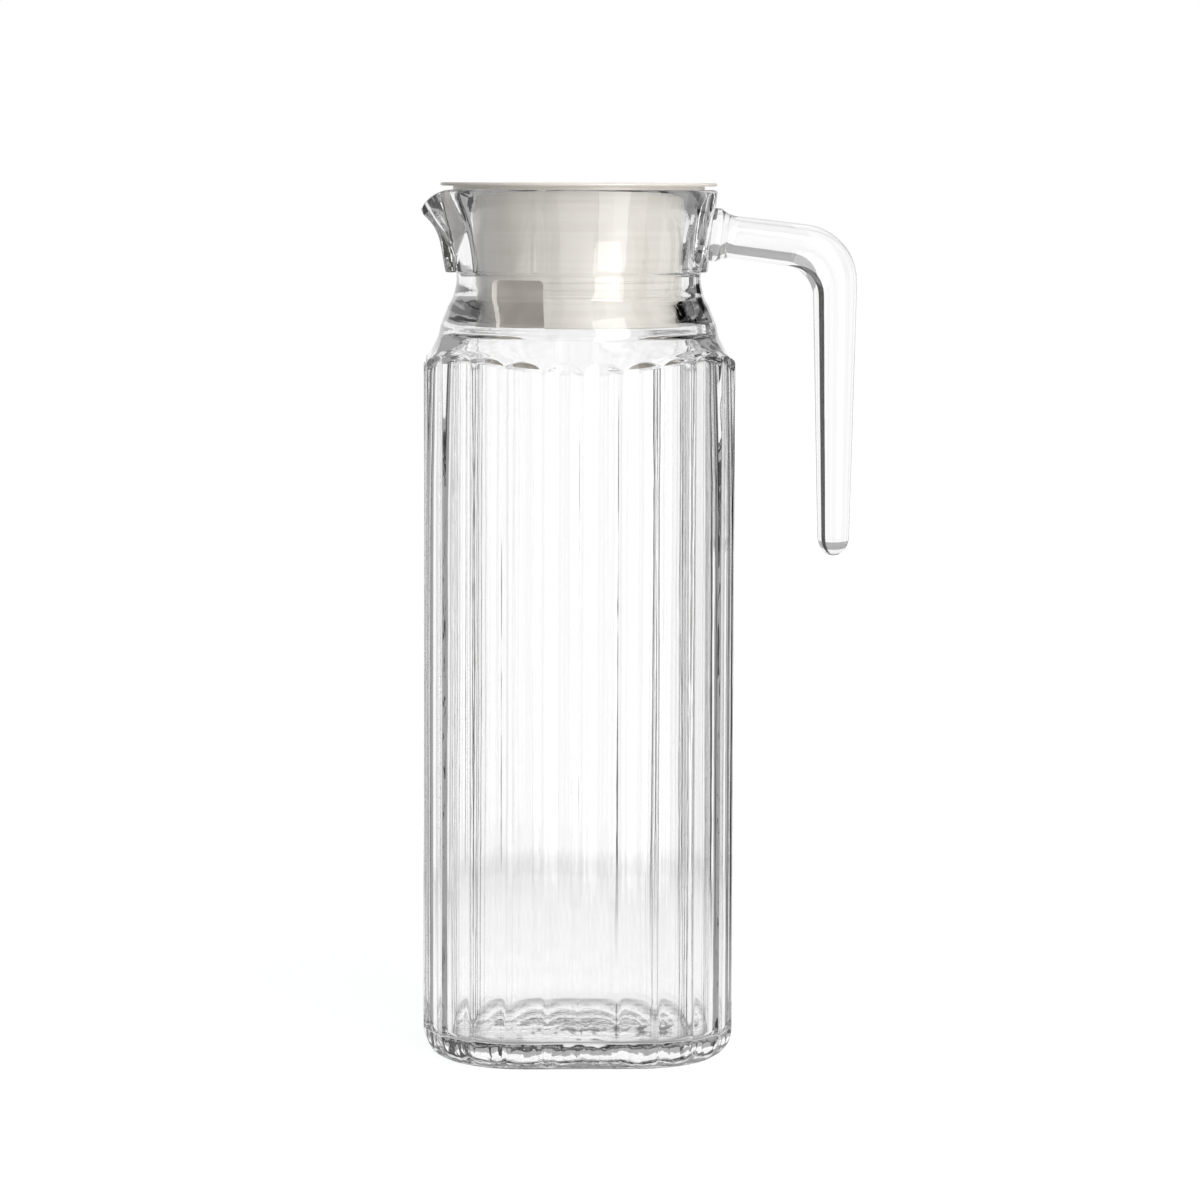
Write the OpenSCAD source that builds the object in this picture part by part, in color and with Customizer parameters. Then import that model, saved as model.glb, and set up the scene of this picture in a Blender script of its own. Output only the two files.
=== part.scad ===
// Square fluted fridge jug in pressed glass, with a hook handle and a turn-to-pour plug lid.
// Millimetres. +Z is up, the jug stands on z = 0 and its axis is the Z axis.
// The spout points along -X and the handle along +X.

/* [Body] */
// Width across two opposite sides, over the ridges
body_w = 91; // [86:1:96]
// Radius of the four upright corners
corner_r = 30; // [26:1:34]
// Height of the shoulder line in the middle of a side
body_h = 202.6; // [180:1:215]
// Flutes from the middle of one side to the middle of the next
flutes = 7; // [5:1:9]
// Depth of a flute below its ridges
flute_depth = 1.2; // [0.6:0.1:1.6]
// Width of the flat land left on each ridge
ridge_land = 0.6; // [0.4:0.1:1]
// Wall thickness behind a ridge
wall = 4.5; // [3.5:0.1:5.5]
// Thickness of the base
base_t = 8; // [6:0.5:11]
// Radius of the outer bottom edge
heel_r = 9; // [6:0.5:11]
// Radius of the inner bottom edge
floor_r = 5; // [3:0.5:7]
// Radius of the shallow dish under the base
dish_r = 27; // [22:1:30]
// Depth of that dish
dish_depth = 1.5; // [0.8:0.1:2]

/* [Shoulder] */
// How much higher the shoulder line is at a corner than in the middle of a side
shoulder_rise = 3.8; // [2:0.2:5]
// Height from the shoulder line in the middle of a side to the round neck
shoulder_h = 9.1; // [8:0.1:11]
// Radius where the shoulder meets the neck
neck_r = 41; // [39:0.5:42]
// Height of the hip, where the neck leaves the shoulder
hip_h = 2.7; // [2:0.1:3.5]
// Radius at the top of the hip
hip_r = 40.6; // [40:0.1:40.8]
// How far inside the hip's radius the neck's hollow curve ends
hip_step = 1.4; // [1:0.1:2]

/* [Neck and mouth] */
// Radius of the waist under the collar
waist_r = 35.9; // [35:0.1:37]
// Height of the neck from the shoulder to the waist
neck_h = 16.7; // [15:0.1:19]
// Radius of the hollow curve that runs from the waist to the hip
waist_curve_r = 15.6; // [14:0.1:18]
// Height of the ledge under the collar
ledge_h = 1.6; // [1:0.1:2.5]
// Height of the collar
collar_h = 24.2; // [22.5:0.1:27]
// Outer radius of the collar at its foot
collar_low_r = 37.9; // [37:0.1:39]
// Outer radius of the collar at the rim
collar_top_r = 40.9; // [40:0.1:42]
// Rounding of the outer rim edge
rim_round = 1.5; // [0.8:0.1:2]
// Radius of the round bore that the lid seals in
bore_r = 30.5; // [29.5:0.1:31]
// Length of that straight bore
bore_h = 11; // [9:0.5:12]
// Depth of the flared mouth above the bore
flare_h = 21.7; // [19:0.1:22]
// Radius of the curve of the flare, seen from the side
flare_curve_r = 44.7; // [42:0.1:50]

/* [Spout] */
// Reach of the spout's tip past the widest part of the collar
spout_out = 5.9; // [4.5:0.1:8]
// Drop of the tip below the rim
spout_drop = 6.6; // [5.5:0.1:8]
// Radius of the arch that the rim makes on its way down to the tip
spout_arch_r = 10.6; // [10:0.1:12]
// Rounding of the tip, seen from above
spout_tip_r = 2.6; // [1.5:0.1:3]
// Reach of the spout's foot past the collar's foot
spout_foot = 1.3; // [0.8:0.1:1.8]
// Height of the spout's straight foot above the ledge
spout_foot_h = 8; // [6:0.5:9]
// Reach of the top of that straight foot past the collar's foot
spout_knee = 2.7; // [2.1:0.1:3.6]
// Radius of the hollow curve under the beak
beak_curve_r = 14.6; // [13:0.1:18]
// Thickness of glass between the channel's end and the tip
spout_lip_t = 2; // [1.5:0.1:2.5]
// Half width of the channel where it leaves the mouth
channel_half_w = 15; // [11:0.5:17]
// Rounding of the channel at the lip of the spout
channel_tip_r = 1.8; // [1:0.1:2.2]
// Rounding of the channel at its lower end
channel_foot_r = 5; // [3.5:0.5:7]
// Height of the channel's lip above the spout's tip
channel_lip = 2.9; // [2:0.1:4]

/* [Handle] */
// Finger gap between the side of the body and the grip
grip_gap = 23.6; // [21:0.2:30]
// Drop of the arm's middle below the rim, at the collar
arm_drop = 13.2; // [12:0.1:14]
// Downward slope of the arm, in degrees
arm_slope = 7; // [4:0.5:10]
// Radius of the outer side of the bend
bend_out_r = 16.7; // [15:0.1:20]
// Radius of the inner side of the bend
bend_in_r = 9.4; // [8:0.1:11]
// Length of the grip below the middle of the bend
grip_len = 76.2; // [66:0.2:90]
// Height of the rod's section in the arm
arm_t = 12.4; // [12:0.1:14]
// Thickness of the grip just below the bend
grip_t = 12.8; // [11.5:0.1:14]
// Thickness of the grip where its round end begins
tip_t = 9.4; // [8:0.1:11]
// Length of the round end
tip_len = 6; // [4.5:0.1:7]
// Width of the rod across, seen along the arm
rod_w = 15; // [12:0.5:17]
// Extra height of the flare where the rod is fused to the collar
root_flare = 3.4; // [2:0.1:4]
// Length of that flare
root_flare_len = 5; // [3:0.5:6]

/* [Lid] */
// Radius of the thin lip
lip_r = 40.6; // [39:0.1:42]
// Thickness of the lip
lip_t = 1; // [0.8:0.1:1.5]
// Height of the seat ring that stands on the rim
seat_h = 1; // [0.6:0.1:1.5]
// Width of glass that the seat ring stands on
seat_w = 0.8; // [0.5:0.1:1.5]
// Clearance between the plug and the glass
plug_gap = 0.3; // [0.25:0.01:0.4]
// Clearance between the sealing ribs and the bore
rib_gap = 0.05; // [0.02:0.01:0.09]
// Wall thickness of the plastic
lid_wall = 1.6; // [1.2:0.1:2]
// Thickness of the cup's floor
cup_floor_t = 1.8; // [1.4:0.1:2.4]
// Depth of the cup's floor below the rim
cup_depth = 23.4; // [20:0.1:24]
// Depth of the plug's lower edge below the rim
lid_depth = 40.3; // [37:0.1:42]
// Height of one sealing rib
rib_h = 1.2; // [0.8:0.1:1.4]
// Spacing of the sealing ribs
rib_pitch = 2.5; // [2.2:0.1:2.8]
// Angle from the spout to the middle of the pouring window, in degrees
window_angle = 53.5; // [45:0.5:65]
// Width of the pouring window, in degrees
window_span = 30.4; // [20:0.2:40]
// Height of the band left between the window and the cup's floor
window_land = 1; // [0.6:0.1:2]
// Angle left between a rib's end and the window, in degrees
rib_stop = 2; // [1:0.5:4]
// Distance of the uppermost rib below the cup's floor
rib_drop = 1.4; // [1:0.1:2]
// Thickness of the finger bar across the cup
bar_t = 5; // [4:0.1:7]
// Depth of the finger bar's top below the lip's top
bar_drop = 1; // [0.5:0.1:2]

/* [Hidden] */
$fn = 96;

// Circles that hull() joins
hull_fn = 48;
// Length by which a cut runs past the face it leaves
over = 1;
// How far the round-edged block that shapes the heel stands outside the ridges
heel_margin = 0.15;
// Directions in which the shoulder's slope is worked out
slope_steps = 96;
// How late the shoulder line starts to rise towards a corner
rise_share = 2.5;
// Sealing ribs on the plug
rib_count = 3;
// Sides of the rod's section
rod_sides = 24;
// Squareness of the rod's section, where 2 is an ellipse
rod_square_share = 2.5;
// Steps along the root's flare, round the bend, down the grip and over the round end
flare_steps = 4;
bend_steps = 9;
grip_steps = 3;
end_steps = 6;
// Angle of the round end's last ring, where a small flat closes it
end_angle = 85;

glass_colour = [0.86, 0.93, 0.93, 0.45];
lid_colour = [0.90, 0.88, 0.84];

// Heights, from the table up
shoulder_z = body_h;
neck_z = shoulder_z + shoulder_h;
waist_z = neck_z + neck_h;
ledge_z = waist_z + ledge_h;
rim_z = ledge_z + collar_h;
flare_z = rim_z - flare_h;
bore_z = flare_z - bore_h;

// The body's square
half_w = body_w / 2;
flat_half = half_w - corner_r;
quarter_len = 2 * flat_half + corner_r * PI / 2;
flute_pitch = quarter_len / flutes;
inner_w = body_w - 2 * wall;
inner_corner_r = corner_r - wall;

// The spout's tip, from the axis
spout_reach = collar_top_r + spout_out;

// The flare of the mouth: the plug and the glass share one centre
plug_r = bore_r - plug_gap;
flare_x = plug_r + flare_curve_r;
mouth_r = flare_x - sqrt(pow(flare_curve_r - plug_gap, 2) - pow(flare_h, 2));

// Height at which the inside of the body begins to slope towards the bore
inner_top_z = shoulder_z - wall / 2;

// A point of the body's square, a distance s from the middle of its +X side
function square_at(s) =
    s < flat_half ? [half_w, s]
    : s < quarter_len - flat_half
        ? let (a = (s - flat_half) / corner_r * 180 / PI)
          [flat_half + corner_r * cos(a), flat_half + corner_r * sin(a)]
        : [quarter_len - s, half_w];

// Outward direction there
function outward_at(s) =
    let (a = (s - flat_half) / corner_r * 180 / PI)
    a < 0 ? [1, 0] : a > 90 ? [0, 1] : [cos(a), sin(a)];

// Centre of the circle through three points
function circle_centre(a, b, c) =
    let (
        d = 2 * (a.x * (b.y - c.y) + b.x * (c.y - a.y) + c.x * (a.y - b.y)),
        aa = a * a,
        bb = b * b,
        cc = c * c
    )
    [
        (aa * (b.y - c.y) + bb * (c.y - a.y) + cc * (a.y - b.y)) / d,
        (aa * (c.x - b.x) + bb * (a.x - c.x) + cc * (b.x - a.x)) / d
    ];

// Radius of the body's square in one direction
function square_r(a) =
    let (
        c = max(abs(cos(a)), abs(sin(a))),
        d = min(abs(cos(a)), abs(sin(a))),
        b = flat_half * (c + d)
    )
    half_w * d / c < flat_half ? half_w / c
    : b + sqrt(b * b - 2 * flat_half * flat_half + corner_r * corner_r);

// Height of the shoulder line in one direction
function shoulder_line(a) = shoulder_z + shoulder_rise * pow(abs(sin(2 * a)), rise_share);

module square_outline(w, r) {
    union() {
        square([w, w - 2 * r], center = true);
        square([w - 2 * r, w], center = true);
        for (x = [-1, 1], y = [-1, 1])
            translate([x * (w / 2 - r), y * (w / 2 - r)])
                circle(r);
    }
}

// Each flute is the arc through its two ridges and its deepest point
module fluted_outline() {
    difference() {
        square_outline(body_w, corner_r);
        for (side = [0:3], i = [0:flutes - 1]) {
            s = (i + 0.5) * flute_pitch;
            reach = (flute_pitch - ridge_land) / 2;
            low = square_at(s) - flute_depth * outward_at(s);
            c = circle_centre(square_at(s - reach), low, square_at(s + reach));
            rotate(90 * side)
                translate(c)
                    circle(norm(c - low));
        }
    }
}

// An upright block on the body's square, with a round lower edge
module round_foot_block(w, r, edge, h) {
    for (turn = [0, 90])
        rotate(turn)
            rotate([90, 0, 0])
                linear_extrude(w - 2 * r, center = true) {
                    translate([-w / 2, edge])
                        square([w, h - edge]);
                    translate([edge - w / 2, 0])
                        square([w - 2 * edge, h]);
                    for (x = [-1, 1])
                        translate([x * (w / 2 - edge), edge])
                            circle(edge);
                }
    for (x = [-1, 1], y = [-1, 1])
        translate([x * (w / 2 - r), y * (w / 2 - r), 0])
            rotate_extrude() {
                translate([0, edge])
                    square([r, h - edge]);
                square([r - edge, h]);
                translate([r - edge, edge])
                    intersection() {
                        circle(edge);
                        translate([0, -edge])
                            square(2 * edge);
                    }
            }
}

// A ring of the shoulder's slope, a distance fall below the neck. The slope is straight in each direction.
function slope_ring(fall) = [
    for (i = [0:slope_steps - 1])
        let (
            a = 360 * i / slope_steps,
            line_fall = neck_z - shoulder_line(a),
            r = neck_r + (square_r(a) - neck_r) * fall / line_fall
        )
        r * [cos(a), sin(a)]
];

// Everything below the shoulder's slope
module under_slope() {
    fall = shoulder_h + wall;
    foot = slope_ring(fall);
    n = slope_steps;
    points = concat(
        [for (p = foot) [p.x, p.y, -over]],
        [for (p = foot) [p.x, p.y, neck_z - fall]],
        [for (p = slope_ring(-over)) [p.x, p.y, neck_z + over]]
    );
    faces = concat(
        [[for (i = [0:n - 1]) i]],
        [for (ring = [0:1], i = [0:n - 1])
            let (j = (i + 1) % n)
            each [
                [ring * n + i, (ring + 1) * n + i, (ring + 1) * n + j],
                [ring * n + i, (ring + 1) * n + j, ring * n + j]
            ]],
        [[for (i = [n - 1:-1:0]) 2 * n + i]]
    );
    polyhedron(points, faces, convexity = 4);
}

// Half section of the neck below the collar
module neck_section() {
    end_r = hip_r - hip_step;
    end_z = waist_z - sqrt(pow(waist_curve_r, 2) - pow(waist_curve_r + waist_r - end_r, 2));
    difference() {
        polygon([
            [0, neck_z - over],
            [neck_r + (neck_r - hip_r) * over / hip_h, neck_z - over],
            [hip_r, neck_z + hip_h],
            [end_r, end_z],
            [end_r, waist_z],
            [waist_r, waist_z],
            [waist_r, ledge_z],
            [0, ledge_z]
        ]);
        translate([waist_r + waist_curve_r, waist_z])
            circle(waist_curve_r);
    }
}

// Half section of the collar, filled to the axis
module collar_section() {
    lean = atan((collar_top_r - collar_low_r) / collar_h);
    round_at = [collar_top_r - rim_round * (tan(lean) + 1 / cos(lean)), rim_z - rim_round];
    polygon([
        [0, ledge_z],
        [collar_low_r, ledge_z],
        round_at + rim_round * [cos(lean), -sin(lean)],
        round_at,
        [round_at.x, rim_z],
        [0, rim_z]
    ]);
    translate(round_at)
        circle(rim_round);
}

// Half section inside a curve that flares from the bore up to the height top
module flare_section(curve, top) {
    difference() {
        translate([0, flare_z])
            square([flare_x, top - flare_z]);
        translate([flare_x, flare_z])
            circle(curve);
    }
}

// The spout's outline seen from the side, pointing along +X
module spout_side() {
    tip = [spout_reach, rim_z - spout_drop];
    knee = [collar_low_r + spout_knee, ledge_z + spout_foot_h];
    span = tip - knee;
    out = [span.y, -span.x] / norm(span);
    beak = (tip + knee) / 2 + out * sqrt(pow(beak_curve_r, 2) - span * span / 4);
    difference() {
        polygon([
            [0, ledge_z],
            [collar_low_r + spout_foot, ledge_z],
            knee,
            tip,
            [spout_reach, rim_z],
            [0, rim_z]
        ]);
        translate(beak)
            circle(beak_curve_r);
        above_arch();
    }
}

// What lies above the arch that the rim makes on its way down to the tip
module above_arch() {
    fall = spout_arch_r - spout_drop;
    low = rim_z - spout_arch_r;
    start = spout_reach - sqrt(pow(spout_arch_r, 2) - pow(fall, 2));
    difference() {
        translate([start, low])
            square([spout_arch_r + over, spout_arch_r + over]);
        translate([start, low])
            circle(spout_arch_r);
    }
}

// The spout's outline seen from above: two sides that run from the tip into the collar
module spout_plan() {
    a = acos((waist_r - spout_tip_r) / (spout_reach - spout_tip_r));
    side = [cos(a), sin(a)];
    tip = [spout_reach - spout_tip_r, 0];
    polygon([
        [0, 0],
        waist_r * [side.x, -side.y],
        tip + spout_tip_r * [side.x, -side.y],
        tip + spout_tip_r * side,
        waist_r * side
    ]);
    translate(tip)
        circle(spout_tip_r);
}

// An outline of the side view, given a thickness across
module across(w) {
    rotate([90, 0, 0])
        linear_extrude(w, center = true)
            children();
}

module pouring_channel() {
    lip_x = spout_reach - spout_lip_t - channel_tip_r;
    lip_z = rim_z - spout_drop + channel_lip;
    hull() {
        translate([lip_x, 0, lip_z])
            cylinder(r = channel_tip_r, h = rim_z + over - lip_z, $fn = hull_fn);
        translate([mouth_r - channel_half_w - over, 0, rim_z - spout_arch_r])
            cylinder(r = channel_half_w, h = spout_arch_r + over, $fn = hull_fn);
        translate([bore_r - channel_foot_r - over, 0, flare_z - over])
            cylinder(r = channel_foot_r, h = flare_h + 2 * over, $fn = hull_fn);
    }
}

// The body's hollow, which slopes in from the inner walls to the bore
module body_hollow() {
    slope = (bore_z - inner_top_z) / (inner_w / 2 - bore_r);
    intersection() {
        translate([0, 0, base_t])
            round_foot_block(inner_w, inner_corner_r, floor_r, bore_z + slope * over - base_t);
        hull() {
            linear_extrude(inner_top_z - slope * wall)
                square_outline(body_w, corner_r, $fn = hull_fn);
            cylinder(r = bore_r - over, h = bore_z + slope * over, $fn = hull_fn);
        }
    }
}

module jug_cavity() {
    body_hollow();
    translate([0, 0, bore_z])
        cylinder(r = bore_r, h = bore_h + over);
    rotate_extrude()
        flare_section(flare_curve_r - plug_gap, rim_z + over);
}

module jug_body() {
    dish_curve_r = (pow(dish_r, 2) + pow(dish_depth, 2)) / (2 * dish_depth);
    color(glass_colour)
        difference() {
            union() {
                intersection() {
                    linear_extrude(neck_z + 2 * over)
                        fluted_outline();
                    round_foot_block(
                        body_w + 2 * heel_margin,
                        corner_r + heel_margin,
                        heel_r,
                        neck_z + 2 * over
                    );
                    under_slope();
                }
                rotate_extrude() {
                    neck_section();
                    collar_section();
                }
                mirror([1, 0, 0])
                    intersection() {
                        across(2 * collar_top_r)
                            spout_side();
                        translate([0, 0, ledge_z])
                            linear_extrude(collar_h)
                                spout_plan();
                    }
            }
            jug_cavity();
            mirror([1, 0, 0]) {
                pouring_channel();
                across(2 * collar_top_r)
                    above_arch();
            }
            translate([0, 0, dish_depth - dish_curve_r])
                rotate([90, 0, 0])
                    sphere(dish_curve_r);
        }
}

// The handle's rod: [x, z, direction below level, thickness, width] at each step
rod_x = half_w + grip_gap + grip_t / 2;
bend_half = (90 - arm_slope) / 2;
bend_r = bend_in_r + grip_t / 2;
bend_x = rod_x - bend_r;
// How far the outer side's arc is centred beyond the inner side's, along the bend's middle
bend_shift = (bend_in_r + grip_t - bend_out_r) / cos(bend_half);
bend_lead = atan(bend_shift * sin(bend_half) / (bend_in_r + grip_t));
arm_end = [
    bend_x + bend_r * sin(arm_slope),
    rim_z - arm_drop - (bend_x + bend_r * sin(arm_slope) - collar_top_r) * tan(arm_slope)
];
bend_z = arm_end.y - bend_r * cos(arm_slope);
arm_len = (arm_end.x - collar_top_r) / cos(arm_slope);
grip_end_z = bend_z - grip_len + tip_len;

function flare_at(d) = root_flare * pow(max(0, 1 - max(0, d) / root_flare_len), 2);

function arm_step(d) =
    let (t = arm_t + (grip_t - arm_t) * max(0, d) / arm_len + flare_at(d))
    [
        arm_end.x - (arm_len - d) * cos(arm_slope),
        arm_end.y + (arm_len - d) * sin(arm_slope),
        arm_slope,
        t,
        rod_w + flare_at(d)
    ];

// Reach of the bend's outer side from the centre of its inner side
function bend_reach(a) =
    let (
        from_end = min(a - arm_slope, 90 - a),
        from_mid = bend_half - from_end
    )
    from_end < bend_lead
        ? (bend_in_r + grip_t) / cos(from_end)
        : bend_shift * cos(from_mid) + sqrt(pow(bend_out_r, 2) - pow(bend_shift * sin(from_mid), 2));

function bend_step(a) =
    let (
        reach = bend_reach(a),
        mid = (bend_in_r + reach) / 2
    )
    [bend_x + mid * sin(a), bend_z + mid * cos(a), a, reach - bend_in_r, rod_w];

function grip_step(share) =
    [
        rod_x,
        bend_z + (grip_end_z - bend_z) * share,
        90,
        grip_t + (tip_t - grip_t) * share,
        rod_w * (grip_t + (tip_t - grip_t) * share) / grip_t
    ];

function end_step(a) =
    [rod_x, grip_end_z - tip_len * sin(a), 90, tip_t * cos(a), rod_w * tip_t / grip_t * cos(a)];

rod_steps = concat(
    [arm_step(-wall)],
    [for (k = [0:flare_steps]) arm_step(root_flare_len * k / flare_steps)],
    [for (k = [0:bend_steps]) bend_step(arm_slope + (90 - arm_slope) * k / bend_steps)],
    [for (k = [1:grip_steps]) grip_step(k / grip_steps)],
    [for (k = [1:end_steps]) end_step(end_angle * k / end_steps)]
);

// A value on the rod's squared ellipse
function squared(v) = sign(v) * pow(abs(v), 2 / rod_square_share);

function rod_ring(s) = [
    for (k = [0:rod_sides - 1])
        let (
            a = 360 * k / rod_sides,
            up = s[3] / 2 * squared(cos(a)),
            side = s[4] / 2 * squared(sin(a))
        )
        [s[0] + up * sin(s[2]), side, s[1] + up * cos(s[2])]
];

module handle() {
    n = rod_sides;
    last = len(rod_steps) - 1;
    points = [for (s = rod_steps) each rod_ring(s)];
    faces = concat(
        [[for (k = [n - 1:-1:0]) k]],
        [for (i = [0:last - 1], k = [0:n - 1])
            let (j = (k + 1) % n)
            each [
                [i * n + k, i * n + j, (i + 1) * n + j],
                [i * n + k, (i + 1) * n + j, (i + 1) * n + k]
            ]],
        [[for (k = [0:n - 1]) last * n + k]]
    );
    color(glass_colour)
        difference() {
            polyhedron(points, faces, convexity = 4);
            rotate_extrude()
                collar_section();
        }
}

// Heights in the lid
cup_z = rim_z - cup_depth;
plug_low_z = rim_z - lid_depth;
lip_z = rim_z + seat_h;
lid_top_z = lip_z + lip_t;

// Half section of the lid before it is hollowed
module plug_section() {
    translate([0, plug_low_z])
        square([plug_r, flare_z - plug_low_z]);
    flare_section(flare_curve_r, rim_z);
    translate([0, rim_z])
        square([mouth_r + seat_w, seat_h]);
    translate([0, lip_z])
        square([lip_r, lip_t]);
}

module lid_section() {
    inner_r = plug_r - lid_wall;
    difference() {
        plug_section();
        translate([0, cup_z])
            square([inner_r, flare_z - cup_z]);
        flare_section(flare_curve_r + lid_wall, lid_top_z + over);
        translate([0, plug_low_z - over])
            square([inner_r, cup_z - cup_floor_t - plug_low_z + over]);
    }
}

// The finger bar runs across the cup, from the middle of one wall to the middle of the other
module finger_bar() {
    top = lid_top_z - bar_drop;
    sink = cup_floor_t / 2;
    intersection() {
        rotate_extrude() {
            translate([0, cup_z - sink])
                square([plug_r - lid_wall / 2, flare_z - cup_z + sink]);
            flare_section(flare_curve_r + lid_wall / 2, lid_top_z);
        }
        rotate([90, 0, 90])
            linear_extrude(2 * lip_r, center = true) {
                translate([-bar_t / 2, cup_z - sink])
                    square([bar_t, top - bar_t / 2 - cup_z + sink]);
                translate([0, top - bar_t / 2])
                    circle(bar_t / 2);
            }
    }
}

module lid() {
    rib_start = window_angle + window_span / 2 + rib_stop;
    window_top = cup_z - cup_floor_t - window_land;
    color(lid_colour)
        difference() {
            union() {
                rotate_extrude()
                    lid_section();
                finger_bar();
                for (i = [0:rib_count - 1])
                    rotate(180 + rib_start)
                        rotate_extrude(angle = 360 - 2 * rib_start)
                            translate([
                                bore_r - rib_gap - rib_h / 2,
                                cup_z - cup_floor_t - rib_drop - i * rib_pitch
                            ])
                                circle(rib_h / 2);
            }
            rotate(180 + window_angle - window_span / 2)
                rotate_extrude(angle = window_span)
                    translate([plug_r - lid_wall - over, plug_low_z - over])
                        square([lid_wall + 2 * over, window_top - plug_low_z + over]);
        }
}

jug_body();
handle();
lid();
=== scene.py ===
"""Looks of a square fluted glass jug with a hook handle and a cream plug lid.

The pieces are in metres. The sizes below are in mm and degrees, unless a comment says otherwise.
"""

import math

import bmesh
import bpy
import numpy as np
from mathutils import Matrix, Vector, noise


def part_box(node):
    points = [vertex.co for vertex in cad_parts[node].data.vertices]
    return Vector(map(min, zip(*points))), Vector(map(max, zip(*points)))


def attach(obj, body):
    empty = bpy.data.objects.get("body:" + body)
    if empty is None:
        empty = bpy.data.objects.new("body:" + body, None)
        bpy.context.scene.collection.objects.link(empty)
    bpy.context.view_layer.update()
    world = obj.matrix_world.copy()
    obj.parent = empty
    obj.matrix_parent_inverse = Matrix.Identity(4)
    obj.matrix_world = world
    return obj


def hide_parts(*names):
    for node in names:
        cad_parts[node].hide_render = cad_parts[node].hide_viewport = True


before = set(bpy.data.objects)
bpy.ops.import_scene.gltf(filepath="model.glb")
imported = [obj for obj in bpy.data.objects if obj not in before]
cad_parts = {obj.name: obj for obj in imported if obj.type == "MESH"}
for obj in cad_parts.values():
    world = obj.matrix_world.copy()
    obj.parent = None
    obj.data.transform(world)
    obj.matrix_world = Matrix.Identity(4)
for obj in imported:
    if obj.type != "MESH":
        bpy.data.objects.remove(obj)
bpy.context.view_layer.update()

MM = 0.001
merge_distance = 1e-4


def frame_box(node):
    """Lowest and highest corner of a CAD node, in mm."""
    return [np.array(corner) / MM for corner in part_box(node)]


body_low, body_high = frame_box("jug_body")
handle_low, handle_high = frame_box("handle")
lid_low, lid_high = frame_box("lid")

# Glass body
half_width = body_high[1]
rim_z = body_high[2]
corner_radius = 30
flutes_on_a_side = 7
flute_depth = 1.2
ridge_land = 0.6
wall = 4.5
base_thickness = 8
heel_radius = 9
floor_radius = 2
dish_radius = 27
dish_depth = 1.5
shoulder_z = 202.6
shoulder_rise = 3.8
shoulder_rise_share = 2.5
neck_foot_z = 211.7
neck_foot_radius = 41
hip_z = 214.4
hip_radius = 40.6
hollow_foot_radius = 39.2
waist_z = 228.4
waist_radius = 35.9
hollow_curve_radius = 15.6
ledge_z = 230
collar_foot_radius = 37.9
collar_rim_radius = 40.9
bore_radius = 30.5
bore_foot_z = 221.5
flare_foot_z = 232.5
flare_curve_radius = 44.7
plug_gap = 0.3

# Its inner wall: thicker at the shoulder, and uneven in slow waves
shoulder_wall = 6
shoulder_wall_height = 40
shoulder_wall_sink = 0.9
inner_hip_drop = 0.2
inner_hip_radius = neck_foot_radius - wall
inner_hip_z = neck_foot_z - inner_hip_drop
inner_hip_top_z = hip_z - inner_hip_drop
wall_wave = 0.2
corner_wave = 0.4
wall_wave_width = 22
wall_wave_height = 95

# How far from each edge of the glass its rounding begins
dish_rim_setback = 1
shoulder_line_setback = 0.8
neck_foot_setback = 1.2
waist_setback = 0.5
ledge_setback = 0.6
outer_rim_setback = 1.1
inner_rim_setback = 0.9
bore_foot_setback = 2.5
inner_hip_setback = 1.2

# Fineness of the glass: columns to a flute, and rows from one edge to the next
flute_columns = 12
spout_flute_columns = 24
spout_flutes = 2
dish_rows = 8
heel_rows = 14
wall_rows = 8
hollow_rows = 8
shoulder_rows = 5
collar_rows = 18
flare_rows = 22
straight_flare_rows = 8
inner_shoulder_rows = 6
inner_wall_rows = 22
floor_edge_rows = 8
floor_rows = 6
rim_rounds = 30

# Spout and its pouring channel, measured from the jug's axis
spout_reach = -body_low[0]
spout_drop = 6.6
spout_arch_radius = 10.6
spout_tip_radius = 2.6
spout_foot = 1.3
spout_knee = 2.7
spout_foot_height = 8
spout_foot_reach = collar_foot_radius + spout_foot
spout_knee_reach = collar_foot_radius + spout_knee
spout_knee_z = ledge_z + spout_foot_height
beak_curve_radius = 14.6
edge_blend = 0.9
channel_foot_centre = 24.5
channel_foot_radius = 5
channel_mouth_centre = 20.05
channel_half_width = 15
channel_lip_centre = 43
channel_lip_radius = 1.8
channel_lip_rise = 2.9
channel_foot_drop = 1
channel_sections = 25
least_side_cosine = 0.1
least_front_cosine = 0.2
# Half of the turn that the spout takes up round the collar, in radians
spout_half_turn = 1.2

# Handle, with its slope in radians
rod_width = 15
arm_thickness = 12.4
grip_thickness = 12.8
tip_thickness = 9.4
tip_length = 6
arm_drop = 13.2
arm_slope = math.radians(7)
bend_outer_radius = 16.7
bend_inner_radius = 9.4
grip_x = handle_high[0] - grip_thickness / 2
tip_z = handle_low[2]
root_flare = 3.4
root_flare_length = 5
rod_square_share = 2.5
root_depths = (2.5, 1)
rod_sides = 48
root_rows = 8
arm_rows = 5
bend_rows = 24
grip_rows = 12
tip_rows = 12

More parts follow.
